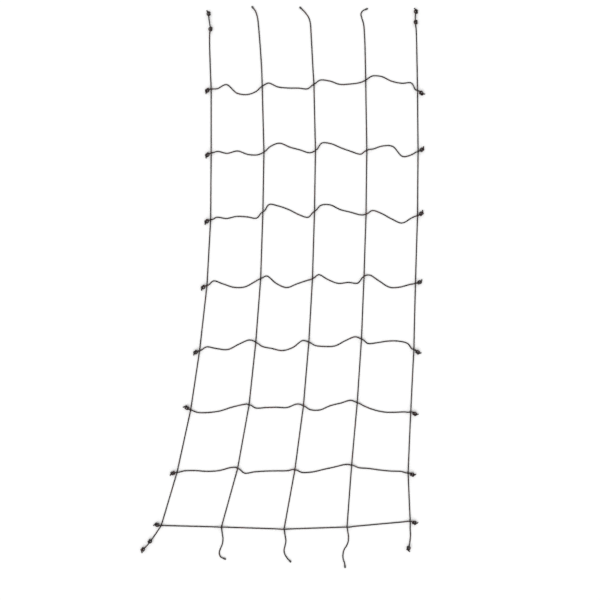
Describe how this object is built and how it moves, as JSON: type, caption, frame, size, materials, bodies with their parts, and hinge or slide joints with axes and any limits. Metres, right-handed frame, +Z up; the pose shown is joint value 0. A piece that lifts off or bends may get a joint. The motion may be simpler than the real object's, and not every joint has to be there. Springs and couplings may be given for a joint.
{
  "type": "rope climbing net",
  "caption": "Rope cargo climbing net for family play equipment: knotted rungs tucked through laid uprights, with loose ends to tie on. It folds between rungs.",
  "frame": {"origin": "middle of the net's outline, on the floor it lies on", "axes": "+Y towards the top end, along the uprights; +X to the right along the rungs; +Z up off the floor"},
  "size_m": [1.084, 2.1422, 0.0143],
  "materials": {
    "upright_rope": "matte",
    "rung_rope": "matte"
  },
  "bodies": {
    "row_1": {"rung_1": "rung_rope", "left_side_rope_1": "upright_rope", "left_inner_rope_1": "upright_rope", "middle_rope_1": "upright_rope", "right_inner_rope_1": "upright_rope", "right_side_rope_1": "upright_rope"},
    "row_2": {"rung_2": "rung_rope", "left_side_rope_2": "upright_rope", "left_inner_rope_2": "upright_rope", "middle_rope_2": "upright_rope", "right_inner_rope_2": "upright_rope", "right_side_rope_2": "upright_rope"},
    "row_3": {"rung_3": "rung_rope", "left_side_rope_3": "upright_rope", "left_inner_rope_3": "upright_rope", "middle_rope_3": "upright_rope", "right_inner_rope_3": "upright_rope", "right_side_rope_3": "upright_rope"},
    "row_4": {"rung_4": "rung_rope", "left_side_rope_4": "upright_rope", "left_inner_rope_4": "upright_rope", "middle_rope_4": "upright_rope", "right_inner_rope_4": "upright_rope", "right_side_rope_4": "upright_rope"},
    "row_5": {"rung_5": "rung_rope", "left_side_rope_5": "upright_rope", "left_inner_rope_5": "upright_rope", "middle_rope_5": "upright_rope", "right_inner_rope_5": "upright_rope", "right_side_rope_5": "upright_rope"},
    "row_6": {"rung_6": "rung_rope", "left_side_rope_6": "upright_rope", "left_inner_rope_6": "upright_rope", "middle_rope_6": "upright_rope", "right_inner_rope_6": "upright_rope", "right_side_rope_6": "upright_rope"},
    "row_7": {"rung_7": "rung_rope", "left_side_rope_7": "upright_rope", "left_inner_rope_7": "upright_rope", "middle_rope_7": "upright_rope", "right_inner_rope_7": "upright_rope", "right_side_rope_7": "upright_rope"},
    "row_8": {"rung_8": "rung_rope", "left_side_rope_8": "upright_rope", "left_inner_rope_8": "upright_rope", "middle_rope_8": "upright_rope", "right_inner_rope_8": "upright_rope", "right_side_rope_8": "upright_rope"},
    "left_side_top_loose_end": {"left_side_top_end": "upright_rope"},
    "left_inner_top_loose_end": {"left_inner_top_end": "upright_rope"},
    "middle_top_loose_end": {"middle_top_end": "upright_rope"},
    "right_inner_top_loose_end": {"right_inner_top_end": "upright_rope"},
    "right_side_top_loose_end": {"right_side_top_end": "upright_rope"},
    "left_side_bottom_loose_end": {"left_side_bottom_end": "upright_rope"},
    "left_inner_bottom_loose_end": {"left_inner_bottom_end": "upright_rope"},
    "middle_bottom_loose_end": {"middle_bottom_end": "upright_rope"},
    "right_inner_bottom_loose_end": {"right_inner_bottom_end": "upright_rope"},
    "right_side_bottom_loose_end": {"right_side_bottom_end": "upright_rope"}
  },
  "joints": [
    {"name": "fold_1", "type": "hinge", "parent": "row_1", "child": "row_2", "pos_m": [0, 0.64079, 0.0025], "axis": [-1, 0, 0], "range_deg": [-115, 115]},
    {"name": "fold_2", "type": "hinge", "parent": "row_2", "child": "row_3", "pos_m": [0, 0.39619, 0.0025], "axis": [1, 0, 0], "range_deg": [-115, 115]},
    {"name": "fold_3", "type": "hinge", "parent": "row_3", "child": "row_4", "pos_m": [0, 0.15058, 0.0025], "axis": [-1, 0, 0], "range_deg": [-115, 115]},
    {"name": "fold_4", "type": "hinge", "parent": "row_4", "child": "row_5", "pos_m": [0, -0.09721, 0.0025], "axis": [1, 0, 0], "range_deg": [-115, 115]},
    {"name": "fold_5", "type": "hinge", "parent": "row_5", "child": "row_6", "pos_m": [0, -0.33802, 0.0025], "axis": [-1, 0, 0], "range_deg": [-115, 115]},
    {"name": "fold_6", "type": "hinge", "parent": "row_6", "child": "row_7", "pos_m": [0, -0.57602, 0.0025], "axis": [1, 0, 0], "range_deg": [-115, 115]},
    {"name": "fold_7", "type": "hinge", "parent": "row_7", "child": "row_8", "pos_m": [0, -0.80261, 0.0025], "axis": [-1, 0, 0], "range_deg": [-115, 115]},
    {"name": "left_side_top_swing", "type": "hinge", "parent": "row_1", "child": "left_side_top_loose_end", "pos_m": [-0.27444, 0.77817, 0.0025], "axis": [-1, 0, 0], "range_deg": [-115, 115]},
    {"name": "left_inner_top_swing", "type": "hinge", "parent": "row_1", "child": "left_inner_top_loose_end", "pos_m": [-0.07976, 0.78817, 0.0025], "axis": [-1, 0, 0], "range_deg": [-115, 115]},
    {"name": "middle_top_swing", "type": "hinge", "parent": "row_1", "child": "middle_top_loose_end", "pos_m": [0.11647, 0.79614, 0.0025], "axis": [-1, 0, 0], "range_deg": [-115, 115]},
    {"name": "right_inner_top_swing", "type": "hinge", "parent": "row_1", "child": "right_inner_top_loose_end", "pos_m": [0.31466, 0.81218, 0.0025], "axis": [-1, 0, 0], "range_deg": [-115, 115]},
    {"name": "right_side_top_swing", "type": "hinge", "parent": "row_1", "child": "right_side_top_loose_end", "pos_m": [0.51208, 0.77218, 0.0025], "axis": [-1, 0, 0], "range_deg": [-115, 115]},
    {"name": "left_side_bottom_swing", "type": "hinge", "parent": "row_8", "child": "left_side_bottom_loose_end", "pos_m": [-0.4768, -0.92778, 0.0025], "axis": [1, 0, 0], "range_deg": [-115, 115]},
    {"name": "left_inner_bottom_swing", "type": "hinge", "parent": "row_8", "child": "left_inner_bottom_loose_end", "pos_m": [-0.23131, -0.9376, 0.0025], "axis": [1, 0, 0], "range_deg": [-115, 115]},
    {"name": "middle_bottom_swing", "type": "hinge", "parent": "row_8", "child": "middle_bottom_loose_end", "pos_m": [0.00806, -0.94549, 0.0025], "axis": [1, 0, 0], "range_deg": [-115, 115]},
    {"name": "right_inner_bottom_swing", "type": "hinge", "parent": "row_8", "child": "right_inner_bottom_loose_end", "pos_m": [0.24786, -0.93749, 0.0025], "axis": [1, 0, 0], "range_deg": [-115, 115]},
    {"name": "right_side_bottom_swing", "type": "hinge", "parent": "row_8", "child": "right_side_bottom_loose_end", "pos_m": [0.48452, -0.91582, 0.0025], "axis": [1, 0, 0], "range_deg": [-115, 115]}
  ]
}
